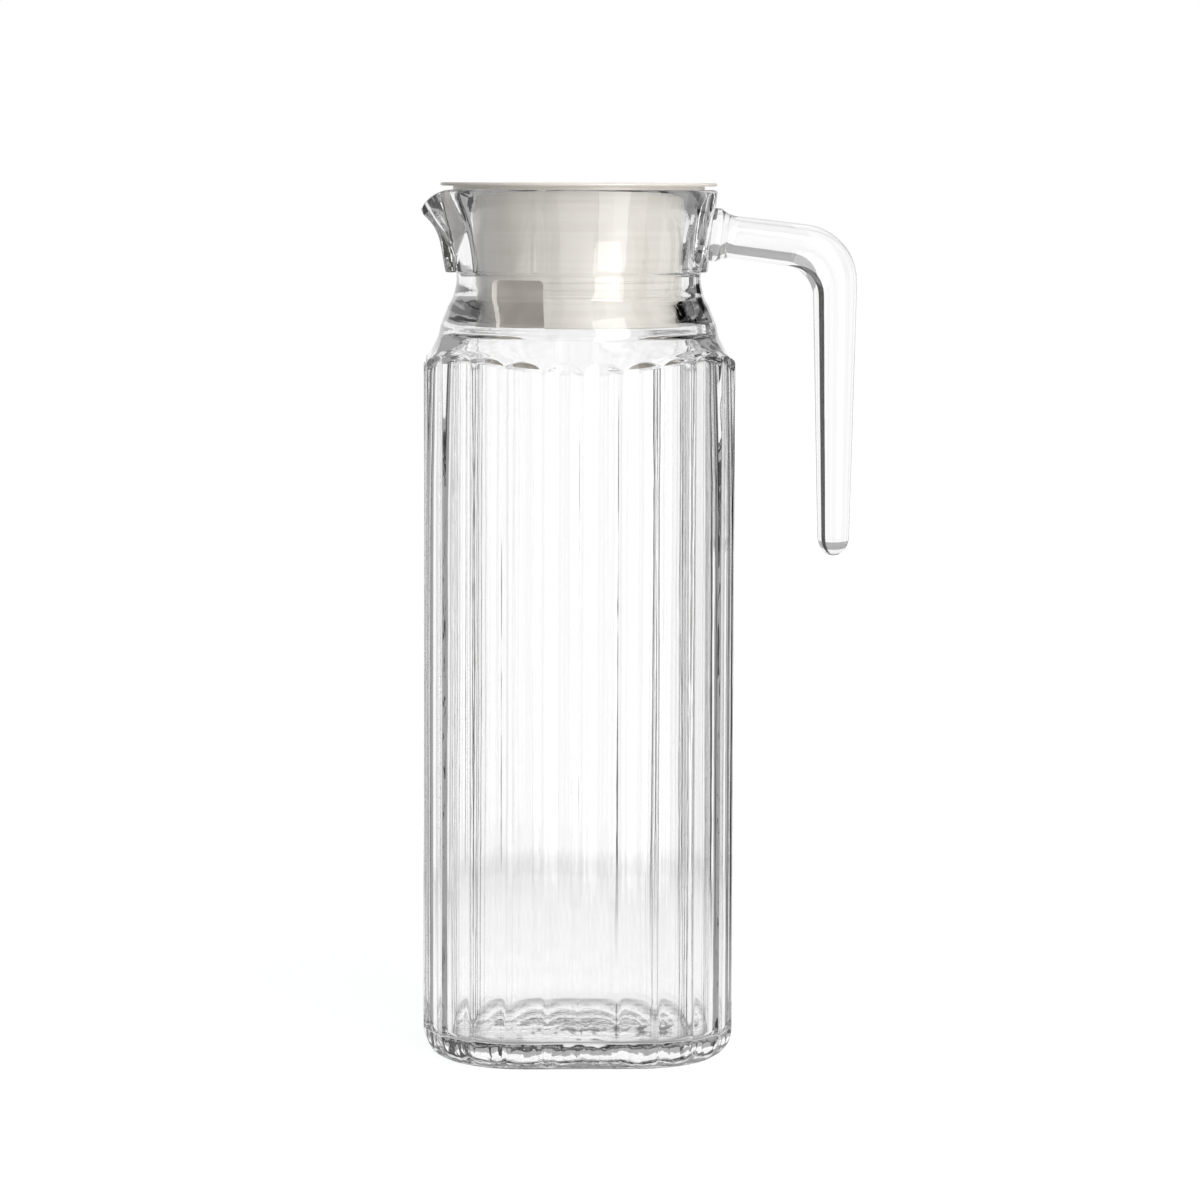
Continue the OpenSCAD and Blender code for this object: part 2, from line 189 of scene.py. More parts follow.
# Lid
lid_top_z = lid_high[2]
plug_low_z = lid_low[2]
lip_radius = lid_high[0]
lip_thickness = 1
seat_width = 0.8
lid_wall = 1.6
cup_depth = 23.4
cup_floor_z = rim_z - cup_depth
cup_floor_thickness = 1.8
rib_thickness = 1.2
rib_pitch = 2.5
rib_count = 3
rib_gap = 0.05
rib_reach = bore_radius - rib_gap
window_angle = 53.5
window_span = 30.4
rib_stop = 2
bar_thickness = 5
bar_drop = 1
bar_fillet = 1.2
bar_sink = 0.9
rib_drop = 1.4
window_land = 1
window_corner = 1.5
overrun = 2
window_top_z = cup_floor_z - cup_floor_thickness - window_land
lid_edge = 0.35
cup_edge = 1
sharp_edge_angle = 35
lid_columns = 144
plug_rows = 18
hollow_plug_rows = 12
bar_top_rows = 9
small_arc_rows = 5

# Studio: each dark flag's place, round from straight behind the jug, half its width, and the light it leaves
flags = [
    (28, 6.5, 0.04),
    (-66, 5, 0.65),
    (68, 7.5, 0.04),
    (-112, 6, 0.45),
    (112, 7, 0.04),
    (-157, 5, 0.2),
    (157, 6, 0.04),
]
flag_softness = 1.5
# Dark bands round the studio: from and to an angle above the horizon, and the light left there
height_bands = [(11, 31, 0.42), (70, 89, 0.4)]
band_softness = 2
# Faint upright streaks in the white backdrop
backdrop_streak_width = 3.5
backdrop_streak_tone = 0.93
backdrop_streak_range = (0.42, 0.7)
# Light on the pieces from all round, in the middle and as much more towards +X
fill_level = 0.2
fill_slope = 0.2

# Table
table_reach = 400
# The table's tone as the glass shows it, by distance from the jug's axis. The dark ring at 44 mm is a
# painted contact shadow round the base, and the tone darkens again towards the table's edge.
table_rings_with_painted_shadow = [
    (0, 0.95),
    (30, 0.9),
    (44, 0.3),
    (56, 0.9),
    (120, 0.98),
    (250, 0.94),
    (380, 0.84),
    (392, 0.55),
    (400, 0.55),
]
table_size = 6000
table_colour = (0.85, 0.85, 0.85, 1)
table_clouds = 0.15
table_cloud_size = (45, 45)
# Painted shadows in patches on the table under the base, as the glass shows it: their depth, size and the
# noise range they take
table_painted_shadows = 1
table_painted_shadow_size = (15, 15)
table_painted_shadow_range = (0.02, 0.2)
table_shade = 0.6
table_bounce = 0.75
table_ragged = 32
table_ragged_width = 0.8
table_ragged_range = (0.35, 0.65)
table_lift = 0.52
table_far_lift = 0.9
table_lit_reach = 150
table_far = 500

# Lamps, with their azimuths to the right of the camera's side
lamp_aim_z = 170
key_azimuth = 24
key_distance = 750
key_height = 400
key_width = 600
key_tall = 700
key_level = 4.1
strip_azimuth = 27
strip_height = 350
strip_width = 370
strip_tall = 900
strip_level = 3
top_height = 1500
top_width = 1200
top_level = 1.3

# Camera, from the photo's perspective, with its turns in radians
camera_distance = 1430
camera_near = 50
camera_far = 20000
camera_height = 257
camera_yaw = 0.040
camera_roll = 0.0035
look_at = (6.6, 0, 133.4)
pixels_per_mm = 3.398
picture_side = 1200
sensor_side = 36

# Glass: its tones, then the height of each kind of wave and the width and height of its patches
glass_index = 1.52
glass_tint = (0.99, 0.99, 0.99, 1)
glass_shadow_tone = (0.93, 0.94, 0.94, 1)
# Grey painted shade for light caught between the glass's walls
glass_trapped_painted_shade = (0.35, 0.35, 0.35, 1)
glass_turns = 2.5
glass_flow = 0.02
glass_flow_size = (9, 28)
glass_fine_flow = 0.012
glass_fine_flow_size = (2.5, 20)
glass_chill = 0.34
glass_chill_size = (13, 13)
glass_base_reach = 12
glass_neck_marks = 0.004
glass_shoulder_marks = 0.03
glass_marks_size = (40, 1.1)
glass_marks_rise = 1

# Plastic: its tones and gloss, then its grain and sink marks in the same way
plastic_dark = (0.76, 0.70, 0.63, 1)
plastic_pale = (0.89, 0.845, 0.785, 1)
plastic_flow_size = (30, 12)
plastic_streak_size = (60, 1.3)
plastic_roughness = 0.3
plastic_roughness_spread = 0.06
plastic_roughness_size = (4, 4)
plastic_grain = 0.004
plastic_grain_size = (0.5, 0.5)
plastic_sink = 0.05
plastic_sink_size = (14, 14)

# Sockets of a mix node, which share their names
colour_low, colour_high, colour_result = 6, 7, 2
number_low, number_high, number_result = 2, 3, 0


def new_piece(name, bm, material):
    """A mesh object from a bmesh in mm, with one material and smooth faces."""
    bmesh.ops.scale(bm, vec=(MM, MM, MM), verts=bm.verts)
    mesh = bpy.data.meshes.new(name)
    bm.to_mesh(mesh)
    bm.free()
    mesh.materials.append(material)
    mesh.shade_smooth()
    piece = bpy.data.objects.new(name, mesh)
    bpy.context.scene.collection.objects.link(piece)
    return piece


def wrapped_grid(rings):
    """A closed skin from rings of points, one to each row of a grid. The first and last may be a pole."""
    rings = np.array(rings)
    rows, columns = rings.shape[:2]
    bm = bmesh.new()
    bmesh.ops.create_grid(bm, x_segments=columns, y_segments=rows - 1, size=1)
    for v in bm.verts:
        column = round((v.co.x + 1) / 2 * columns) % columns
        row = round((v.co.y + 1) / 2 * (rows - 1))
        v.co = rings[row, column]
    bmesh.ops.remove_doubles(bm, verts=bm.verts, dist=merge_distance)
    bmesh.ops.recalc_face_normals(bm, faces=bm.faces)
    return bm


def rounded_corner(before, corner, after, setback, steps):
    """Points that round a corner, from setback before it to setback after it."""
    back = before - corner
    ahead = after - corner
    start = corner + back * (setback / np.linalg.norm(back, axis=-1, keepdims=True))
    end = corner + ahead * (setback / np.linalg.norm(ahead, axis=-1, keepdims=True))
    t = np.linspace(0, 1, steps)[:, None, None]
    return list((1 - t) ** 2 * start + 2 * t * (1 - t) * corner + t ** 2 * end)


def between(start, end, count):
    """Evenly spaced points between two rings, without the rings themselves."""
    t = (np.arange(1, count + 1) / (count + 1))[:, None, None]
    return list(start + (end - start) * t)


# The body's square outline and its flutes, as one column of points to each step round it
flat_half = half_width - corner_radius
quarter_length = 2 * flat_half + corner_radius * math.pi / 2
flute_pitch = quarter_length / flutes_on_a_side
flute_reach = (flute_pitch - ridge_land) / 2
flute_curve_radius = (flute_reach ** 2 + flute_depth ** 2) / (2 * flute_depth)


def outline_at(distance):
    """Point and outward direction of the plain square outline, from the middle of the handle side."""
    turn, s = divmod(distance, quarter_length)
    if s < flat_half:
        point, out = (half_width, s), (1, 0)
    elif s > quarter_length - flat_half:
        point, out = (quarter_length - s, half_width), (0, 1)
    else:
        a = (s - flat_half) / corner_radius
        out = (math.cos(a), math.sin(a))
        point = [flat_half + corner_radius * v for v in out]
    c, d = [(1, 0), (0, 1), (-1, 0), (0, -1)][int(turn) % 4]
    return [[c * p[0] - d * p[1], d * p[0] + c * p[1]] for p in (point, out)]


def flute_steps(count):
    """Places across one flute and the ridge after it, counted from the flute's middle."""
    arc = np.linspace(-flute_reach, flute_reach, count + 1)
    return [*arc, flute_pitch / 2]


def column_places():
    """Distances round the outline, closer together at the spout."""
    places = []
    total = 4 * flutes_on_a_side
    for i in range(total):
        near_spout = abs(i + 0.5 - total / 2) < spout_flutes
        steps = flute_steps(spout_flute_columns if near_spout else flute_columns)
        places += [(i + 0.5) * flute_pitch + u for u in steps]
    return places


places = column_places()
outline, outward = np.array([outline_at(s) for s in places]).transpose(1, 0, 2)
across = (np.array(places) % flute_pitch) - flute_pitch / 2
fluted = np.abs(across) < flute_reach
depth = np.where(
    fluted,
    np.sqrt(np.maximum(flute_curve_radius ** 2 - across ** 2, 0)) - flute_curve_radius + flute_depth,
    0,
)
depth = np.maximum(depth, 0)


def at_inset(inset, z):
    """A ring at an inset from the plain square outline."""
    inset, z = np.broadcast_to(inset, depth.shape), np.broadcast_to(z, depth.shape)
    return np.column_stack([outline - outward * inset[:, None], z])


def at_radius(angle, radius, z):
    """A ring at a radius from the axis, with each column in its own direction."""
    radius, z = np.broadcast_to(radius, angle.shape), np.broadcast_to(z, angle.shape)
    return np.column_stack([radius * np.cos(angle), radius * np.sin(angle), z])


def angles(ring):
    return np.arctan2(ring[:, 1], ring[:, 0])


def square_radius(angle):
    """Distance from the axis to the plain square outline in each direction."""
    c = np.maximum(abs(np.cos(angle)), abs(np.sin(angle)))
    d = np.minimum(abs(np.cos(angle)), abs(np.sin(angle)))
    b = flat_half * (c + d)
    flat = half_width * d / c < flat_half
    return np.where(flat, half_width / c, b + np.sqrt(b * b - 2 * flat_half ** 2 + corner_radius ** 2))


def smooth_max(a, b, blend):
    h = np.maximum(blend - abs(a - b), 0) / blend
    return np.maximum(a, b) + h * h * blend / 4


def smooth_min(a, b, blend):
    return -smooth_max(-a, -b, blend)


def arch_height(x):
    """Height of the rim above a point this far from the axis towards the spout."""
    fall = spout_arch_radius - spout_drop
    start = spout_reach - math.sqrt(spout_arch_radius ** 2 - fall ** 2)
    along = np.clip(x - start, 0, spout_arch_radius)
    return rim_z - spout_arch_radius + np.sqrt(spout_arch_radius ** 2 - along ** 2)


def spout_front(z):
    """Reach of the spout at each height, along its middle."""
    tip = np.array([spout_reach, rim_z - spout_drop])
    knee = np.array([spout_knee_reach, spout_knee_z])
    span = tip - knee
    out = np.array([span[1], -span[0]]) / np.linalg.norm(span)
    beak = (tip + knee) / 2 + out * math.sqrt(beak_curve_radius ** 2 - span @ span / 4)
    climb = (z - ledge_z) / (spout_knee_z - ledge_z)
    foot = spout_foot_reach + (spout_knee_reach - spout_foot_reach) * climb
    under = beak[0] - np.sqrt(np.maximum(beak_curve_radius ** 2 - (z - beak[1]) ** 2, 0))
    return np.where(z < spout_knee_z, foot, np.where(z < tip[1], under, spout_reach))


def spout_sides(turn):
    """Distance from the axis to the spout's sides and tip in a direction this far from the spout."""
    side = math.acos((waist_radius - spout_tip_radius) / (spout_reach - spout_tip_radius))
    centre = spout_reach - spout_tip_radius
    straight = waist_radius / np.maximum(np.cos(abs(turn) - side), least_side_cosine)
    inside = np.maximum(spout_tip_radius ** 2 - (centre * np.sin(turn)) ** 2, 0)
    tip = centre * np.cos(turn) + np.sqrt(inside)
    round_tip = abs(turn) < math.atan2(
        spout_tip_radius * math.sin(side), centre + spout_tip_radius * math.cos(side)
    )
    return np.where(round_tip, tip, np.where(abs(turn) < math.pi / 2, straight, 0))


def collar_radius(turn, z):
    lean = (collar_rim_radius - collar_foot_radius) / (rim_z - ledge_z)
    collar = collar_foot_radius + lean * (z - ledge_z)
    front = spout_front(z) / np.maximum(np.cos(turn), least_front_cosine)
    spout = smooth_min(spout_sides(turn), front, edge_blend)
    return np.where(abs(turn) < spout_half_turn, smooth_max(collar, spout, edge_blend), collar)


def circle_reach(centre, radius, turn):
    """Distance from the axis to the far side of a circle on the spout's line, or zero where it is missed."""
    inside = radius ** 2 - (centre * np.sin(turn)) ** 2
    met = (inside > 0) & (np.cos(turn) > 0)
    return np.where(met, centre * np.cos(turn) + np.sqrt(np.maximum(inside, 0)), 0)


def channel_radius(turn, z):
    """The pouring channel. Its section joins a wide circle at the mouth to a narrow one at the lip."""
    foot = (channel_foot_centre, channel_foot_radius, flare_foot_z - channel_foot_drop)
    mouth = (channel_mouth_centre, channel_half_width, rim_z - spout_arch_radius)
    lip = (channel_lip_centre, channel_lip_radius, rim_z - spout_drop + channel_lip_rise)
    t = np.clip((z - foot[2]) / (lip[2] - foot[2]), 0, 1)
    narrow = [foot[i] + (lip[i] - foot[i]) * t for i in (0, 1)]
    t = np.clip((z - foot[2]) / (mouth[2] - foot[2]), 0, 1)
    wide = [foot[i] + (mouth[i] - foot[i]) * t for i in (0, 1)]
    reach = np.zeros_like(turn)
    for k in np.linspace(0, 1, channel_sections):
        centre, radius = [wide[i] + (narrow[i] - wide[i]) * k for i in (0, 1)]
        reach = np.maximum(reach, circle_reach(centre, radius, turn))
    return np.where(z < foot[2], 0, reach)


def mouth_radius(turn, z):
    curve = flare_curve_radius - plug_gap
    centre = bore_radius - plug_gap + flare_curve_radius
    flare = centre - np.sqrt(curve ** 2 - np.maximum(z - flare_foot_z, 0) ** 2)
    return smooth_max(flare, channel_radius(turn, z), edge_blend)


def rim_height(radius_at, turn):
    """Height at which a surface of the collar meets the rim."""
    z = np.full_like(turn, rim_z)
    for _ in range(rim_rounds):
        z = (z + arch_height(radius_at(turn, z) * np.cos(turn))) / 2
    return z


def outside_rings():
    """Rings of the outside, from the middle of the base up to the ledge under the collar."""
    base_angle = angles(at_inset(heel_radius, 0))
    dish_curve = (dish_radius ** 2 + dish_depth ** 2) / (2 * dish_depth)
    rings = []
    for k in range(dish_rows):
        r = dish_radius * k / dish_rows
        rings.append(at_radius(base_angle, r, dish_depth - dish_curve + math.sqrt(dish_curve ** 2 - r * r)))
    rim = at_radius(base_angle, dish_radius, 0)
    heel_start = at_inset(heel_radius, 0)
    rings += rounded_corner(rings[-1], rim, heel_start, dish_rim_setback, steps=4)
    rings += between(rim, heel_start, 2)
    for k in range(heel_rows):
        turn = math.pi / 2 * k / heel_rows
        inset = depth * math.sin(turn) ** 2 + heel_radius * (1 - math.sin(turn))
        rings.append(at_inset(inset, heel_radius * (1 - math.cos(turn))))
    wall_foot = at_inset(depth, heel_radius)
    rings.append(wall_foot)
    crease_angle = angles(at_inset(depth, 0))
    crease_radius = np.linalg.norm(at_inset(depth, 0)[:, :2], axis=1)
    line_z = shoulder_z + shoulder_rise * abs(np.sin(2 * crease_angle)) ** shoulder_rise_share
    share = (crease_radius - neck_foot_radius) / (square_radius(crease_angle) - neck_foot_radius)
    wall_top = at_inset(depth, neck_foot_z - (neck_foot_z - line_z) * share)
    rings += between(wall_foot, wall_top, wall_rows)
    neck_foot = at_radius(crease_angle, neck_foot_radius, neck_foot_z)
    hip = at_radius(crease_angle, hip_radius, hip_z)
    curve_foot_z = waist_z - math.sqrt(
        hollow_curve_radius ** 2 - (hollow_curve_radius + waist_radius - hollow_foot_radius) ** 2
    )
    hollow = []
    for k in range(hollow_rows + 1):
        z = curve_foot_z + (waist_z - curve_foot_z) * k / hollow_rows
        r = waist_radius + hollow_curve_radius - math.sqrt(hollow_curve_radius ** 2 - (waist_z - z) ** 2)
        hollow.append(at_radius(crease_angle, r, z))
    rings += rounded_corner(wall_foot, wall_top, neck_foot, shoulder_line_setback, steps=6)
    rings += between(wall_top, neck_foot, shoulder_rows)
    rings += rounded_corner(wall_top, neck_foot, hip, neck_foot_setback, steps=5)
    rings += rounded_corner(neck_foot, hip, hollow[1], neck_foot_setback, steps=5)
    rings += hollow[1:]
    return rings, crease_angle, line_z


def turned(angle, start):
    """Angles counted from a start, between minus and plus half a turn."""
    return np.arctan2(np.sin(angle - start), np.cos(angle - start))


def collar_rings(angle):
    """Rings of the ledge, the collar with its spout, the rim and the flared mouth."""
    turn = turned(angle, math.pi)
    waist = at_radius(angle, waist_radius, waist_z)
    waist_top = at_radius(angle, waist_radius, ledge_z)
    ledge = at_radius(angle, collar_radius(turn, np.full_like(turn, ledge_z)), ledge_z)
    top = rim_height(collar_radius, turn)
    outer = []
    for k in range(collar_rows + 1):
        z = ledge_z + (top - ledge_z) * k / collar_rows
        outer.append(at_radius(angle, collar_radius(turn, z), z))
    inner_top = rim_height(mouth_radius, turn)
    drift = turned(angles(at_inset(wall, 0)), angle)
    inner = []
    for k in range(flare_rows + 1):
        z = inner_top + (flare_foot_z - inner_top) * k / flare_rows
        column = angle + drift * max(0, (k - straight_flare_rows) / (flare_rows - straight_flare_rows))
        inner.append(at_radius(column, mouth_radius(turned(column, math.pi), z), z))
    rings = rounded_corner(waist, waist_top, ledge, waist_setback, steps=3)
    rings += rounded_corner(waist_top, ledge, outer[1], ledge_setback, steps=4)
    rings += outer[1:-2]
    rings += rounded_corner(outer[-3], outer[-1], inner[0], outer_rim_setback, steps=6)
    rings += rounded_corner(outer[-1], inner[0], inner[2], inner_rim_setback, steps=5)
    rings += inner[2:]
    return rings


def wavy(ring):
    """The inner wall's slow waves, as hot glass leaves them."""
    moved = ring.copy()
    reach = wall_wave + (corner_wave - wall_wave) * abs(2 * outward[:, 0] * outward[:, 1])
    for i, (x, y, z) in enumerate(ring):
        wave = noise.noise(Vector((x / wall_wave_width, y / wall_wave_width, z / wall_wave_height)))
        moved[i, :2] -= outward[i] * reach[i] * wave
    return moved


def inside_rings(line_z):
    """Rings of the bore and the hollow, down to the middle of the floor."""
    inner_angle = angles(at_inset(wall, 0))
    flare_foot = at_radius(inner_angle, bore_radius, flare_foot_z)
    bore_foot = at_radius(inner_angle, bore_radius, bore_foot_z)
    hip_top = at_radius(inner_angle, inner_hip_radius, inner_hip_top_z)
    hip = at_radius(inner_angle, inner_hip_radius, inner_hip_z)
    shoulder = at_inset(shoulder_wall, line_z - shoulder_wall_sink)
    upper = at_inset(wall, shoulder_z - shoulder_wall_height)
    floor_edge = at_inset(wall, base_thickness + floor_radius)
    rings = rounded_corner(flare_foot, bore_foot, hip_top, bore_foot_setback, steps=7)
    rings += rounded_corner(bore_foot, hip_top, hip, inner_hip_setback, steps=6)
    rings += rounded_corner(hip_top, hip, shoulder, inner_hip_setback, steps=6)
    rings += between(rings[-1], shoulder, 3)[:2]
    rings += rounded_corner(hip, shoulder, upper, inner_hip_setback, steps=6)
    rings += [wavy(ring) for ring in between(shoulder, upper, inner_shoulder_rows)[1:]]
    rings += [wavy(ring) for ring in between(upper, floor_edge, inner_wall_rows)[1:]]
    for k in range(floor_edge_rows + 1):
        a = math.pi / 2 * k / floor_edge_rows
        inset = wall + floor_radius * (1 - math.cos(a))
        rings.append(wavy(at_inset(inset, base_thickness + floor_radius * (1 - math.sin(a)))))
    floor_ring = rings[-1]
    for k in range(1, floor_rows + 1):
        ring = floor_ring.copy()
        ring[:, :2] *= 1 - k / floor_rows
        rings.append(ring)
    return rings


def rod_ring(x, z, turn, thickness, width):
    """A ring of the handle's rod: a squared ellipse, square to its path."""
    a = np.arange(rod_sides) * 2 * math.pi / rod_sides
    up = thickness / 2 * np.sign(np.cos(a)) * abs(np.cos(a)) ** (2 / rod_square_share)
    side = width / 2 * np.sign(np.sin(a)) * abs(np.sin(a)) ** (2 / rod_square_share)
    return np.column_stack([x + up * math.sin(turn), side, z + up * math.cos(turn)])


def handle_skin():
    """The handle's rod, from inside the collar's wall to its round tip."""
    bend_half = (math.pi / 2 - arm_slope) / 2
    bend_radius = bend_inner_radius + grip_thickness / 2
    outer_line = bend_inner_radius + grip_thickness
    bend_shift = (outer_line - bend_outer_radius) / math.cos(bend_half)
    bend_lead = math.atan(bend_shift * math.sin(bend_half) / outer_line)
    bend_x = grip_x - bend_radius
    end_x = bend_x + bend_radius * math.sin(arm_slope)
    end_z = rim_z - arm_drop - (end_x - collar_rim_radius) * math.tan(arm_slope)
    bend_z = end_z - bend_radius * math.cos(arm_slope)
    arm_length = (end_x - collar_rim_radius) / math.cos(arm_slope)
    rings = []

    def add(x, z, turn, thickness, width):
        rings.append(rod_ring(x, z, turn, thickness, width))

    along_arm = [-sunk for sunk in root_depths]
    along_arm += list(np.linspace(0, root_flare_length, root_rows + 1))
    along_arm += list(np.linspace(root_flare_length, arm_length, arm_rows + 1))[1:-1]
    for d in along_arm:
        flare = root_flare * (1 - min(1, max(0, d) / root_flare_length)) ** 2
        thickness = arm_thickness + (grip_thickness - arm_thickness) * max(0, d) / arm_length
        add(
            end_x - (arm_length - d) * math.cos(arm_slope),
            end_z + (arm_length - d) * math.sin(arm_slope),
            arm_slope,
            thickness + flare,
            rod_width + flare,
        )
    for k in range(bend_rows + 1):
        a = arm_slope + (math.pi / 2 - arm_slope) * k / bend_rows
        from_end = min(a - arm_slope, math.pi / 2 - a)
        sideways = bend_shift * math.sin(bend_half - from_end)
        reach = bend_shift * math.cos(bend_half - from_end)
        reach += math.sqrt(bend_outer_radius ** 2 - sideways ** 2)
        if from_end < bend_lead:
            reach = outer_line / math.cos(from_end)
        middle = (bend_inner_radius + reach) / 2
        thickness = reach - bend_inner_radius
        add(bend_x + middle * math.sin(a), bend_z + middle * math.cos(a), a, thickness, rod_width)
    round_z = tip_z + tip_length
    for k in range(1, grip_rows + 1):
        t = k / grip_rows
        thickness = grip_thickness + (tip_thickness - grip_thickness) * t
        z = bend_z + (round_z - bend_z) * t
        add(grip_x, z, math.pi / 2, thickness, rod_width * thickness / grip_thickness)
    for k in range(1, tip_rows + 1):
        a = math.pi / 2 * k / tip_rows
        thickness = tip_thickness * math.cos(a)
        width = thickness * rod_width / grip_thickness
        add(grip_x, round_z - tip_length * math.sin(a), math.pi / 2, thickness, width)
    first = rings[0]
    return wrapped_grid([np.broadcast_to(first.mean(axis=0), first.shape), *rings])


def united(piece, others, operation="UNION"):
    """Joins or cuts a piece with others and keeps the result as its plain mesh."""
    for other in others:
        boolean = piece.modifiers.new("join", "BOOLEAN")
        boolean.operation = operation
        boolean.solver = "EXACT"
        boolean.object = other
    graph = bpy.context.evaluated_depsgraph_get()
    graph.update()
    mesh = bpy.data.meshes.new_from_object(piece.evaluated_get(graph))
    piece.modifiers.clear()
    piece.data = mesh
    for other in others:
        bpy.data.objects.remove(other)
    return piece


def node(tree, kind, **values):
    """A new shader node, with its settings and its inputs' values."""
    made = tree.nodes.new(kind)
    for name, value in values.items():
        if hasattr(made, name):
            setattr(made, name, value)
        else:
            made.inputs[name.replace("_", " ")].default_value = value
    return made


def fed(tree, socket, value):
    """Links another node's result to a socket, or gives the socket a plain value."""
    if isinstance(value, bpy.types.NodeSocket):
        tree.links.new(value, socket)
    else:
        socket.default_value = value


def maths(tree, operation, *inputs):
    """The result of a maths node on numbers and other nodes' results."""
    made = node(tree, "ShaderNodeMath", operation=operation)
    for socket, value in zip(made.inputs, inputs):
        fed(tree, socket, value)
    return made.outputs[0]


def faded(tree, value, start, end, low=0, high=1):
    """Goes smoothly from one number to another while a value goes from start to end."""
    made = node(tree, "ShaderNodeMapRange", interpolation_type="SMOOTHSTEP")
    tree.links.new(value, made.inputs["Value"])
    for name, number in (("From Min", start), ("From Max", end), ("To Min", low), ("To Max", high)):
        made.inputs[name].default_value = number
    return made.outputs["Result"]


def mixed_number(tree, share, low, high):
    """Goes from one number to another as a share goes from 0 to 1."""
    made = node(tree, "ShaderNodeMix", data_type="FLOAT")
    for place, value in ((0, share), (number_low, low), (number_high, high)):
        fed(tree, made.inputs[place], value)
    return made.outputs[number_result]


def mixed_colour(tree, share, low, high):
    """Goes from one colour to another as a share goes from 0 to 1."""
    made = node(tree, "ShaderNodeMix", data_type="RGBA")
    for place, value in ((0, share), (colour_low, low), (colour_high, high)):
        fed(tree, made.inputs[place], value)
    return made.outputs[colour_result]


def mixed_shader(tree, share, first, second):
    made = node(tree, "ShaderNodeMixShader")
    tree.links.new(share, made.inputs[0])
    tree.links.new(first.outputs[0], made.inputs[1])
    tree.links.new(second.outputs[0], made.inputs[2])
    return made


def object_place(tree):
    return node(tree, "ShaderNodeTexCoord").outputs["Object"]


def parts_of(tree, place):
    """A place's parts along X, Y and Z."""
    split = node(tree, "ShaderNodeSeparateXYZ")
    tree.links.new(place, split.inputs[0])
    return split.outputs


def new_material(name):
    material = bpy.data.materials.new(name)
    material.use_nodes = True
    return material, material.node_tree


def new_group(name, inputs):
    """A node group with named number inputs and one number as its output."""
    group = bpy.data.node_groups.new(name, "ShaderNodeTree")
    for label, value in inputs.items():
        socket = group.interface.new_socket(label, in_out="INPUT", socket_type="NodeSocketFloat")
        socket.default_value = value
    group.interface.new_socket("Value", in_out="OUTPUT", socket_type="NodeSocketFloat")
    return group, group.nodes.new("NodeGroupInput").outputs, group.nodes.new("NodeGroupOutput").inputs[0]


def uneven_group():
    """Uneven thickness of a moulded wall: noise with a width and height of its own, from -1 to 1."""
    group, given, result = new_group("uneven", {"Width": 0.01, "Height": 0.01, "Detail": 2})
    size = node(group, "ShaderNodeCombineXYZ")
    for axis, label in zip("XYZ", ("Width", "Width", "Height")):
        group.links.new(given[label], size.inputs[axis])
    shrunk = node(group, "ShaderNodeVectorMath", operation="DIVIDE")
    group.links.new(object_place(group), shrunk.inputs[0])
    group.links.new(size.outputs[0], shrunk.inputs[1])
    grain = node(group, "ShaderNodeTexNoise", Scale=1, Roughness=0.5)
    group.links.new(shrunk.outputs[0], grain.inputs["Vector"])
    group.links.new(given["Detail"], grain.inputs["Detail"])
    group.links.new(maths(group, "MULTIPLY_ADD", grain.outputs[0], 2, -1), result)
    return group


def flags_group():
    """How much light the studio's dark flags and its uneven backdrop leave, by direction round the jug."""
    group, given, result = new_group("flags", {"Angle": 0})
    angle = given["Angle"]
    streaks = node(group, "ShaderNodeTexNoise", noise_dimensions="1D", Scale=1, Detail=2, Roughness=0.5)
    along = maths(group, "MULTIPLY", angle, 1 / math.radians(backdrop_streak_width))
    group.links.new(along, streaks.inputs["W"])
    level = faded(group, streaks.outputs[0], *backdrop_streak_range, 1, backdrop_streak_tone)
    for centre, half, dark in flags:
        away = maths(group, "COSINE", maths(group, "SUBTRACT", angle, math.radians(centre) + camera_yaw))
        edge = math.cos(math.radians(half))
        soft = math.cos(math.radians(half + flag_softness))
        level = maths(group, "MULTIPLY", faded(group, away, soft, edge, 1, dark), level)
    group.links.new(level, result)
    return group


uneven = uneven_group()
flag_shade = flags_group()


def flag_value(tree, x, y):
    made = node(tree, "ShaderNodeGroup", node_tree=flag_shade)
    tree.links.new(maths(tree, "ARCTAN2", x, y), made.inputs[0])
    return made.outputs[0]


def uneven_value(tree, size, detail=2):
    """Noise from -1 to 1 in patches of a width and height."""
    made = node(tree, "ShaderNodeGroup", node_tree=uneven)
    made.inputs["Width"].default_value = size[0] * MM
    made.inputs["Height"].default_value = size[1] * MM
    made.inputs["Detail"].default_value = detail
    return made.outputs[0]


def waves(tree, size, height, detail=2):
    return maths(tree, "MULTIPLY", uneven_value(tree, size, detail), height)


def bumped(tree, height, shader):
    """Feeds a height in mm to a shader's normal."""
    bump = node(tree, "ShaderNodeBump", Strength=1, Distance=MM)
    tree.links.new(height, bump.inputs["Height"])
    tree.links.new(bump.outputs[0], shader.inputs["Normal"])


def glass_waves(tree):
    """The glass's surface: a slow and a fine flow, chill marks by the base, and turned marks above it."""
    height = parts_of(tree, object_place(tree))["Z"]
    under = faded(tree, height, glass_base_reach * MM, glass_base_reach * MM / 2)
    flow = waves(tree, glass_flow_size, glass_flow)
    fine = waves(tree, glass_fine_flow_size, glass_fine_flow)
    chill = maths(tree, "MULTIPLY", waves(tree, glass_chill_size, glass_chill, 3), under)
    above = faded(tree, height, shoulder_z * MM, (shoulder_z + shoulder_rise) * MM)
    neck_z = (hip_z + glass_marks_rise) * MM
    reach = faded(tree, height, neck_z, neck_foot_z * MM, glass_neck_marks, glass_shoulder_marks)
    marks = maths(tree, "MULTIPLY", waves(tree, glass_marks_size, reach), above)
    return maths(tree, "ADD", maths(tree, "ADD", flow, fine), maths(tree, "ADD", chill, marks))


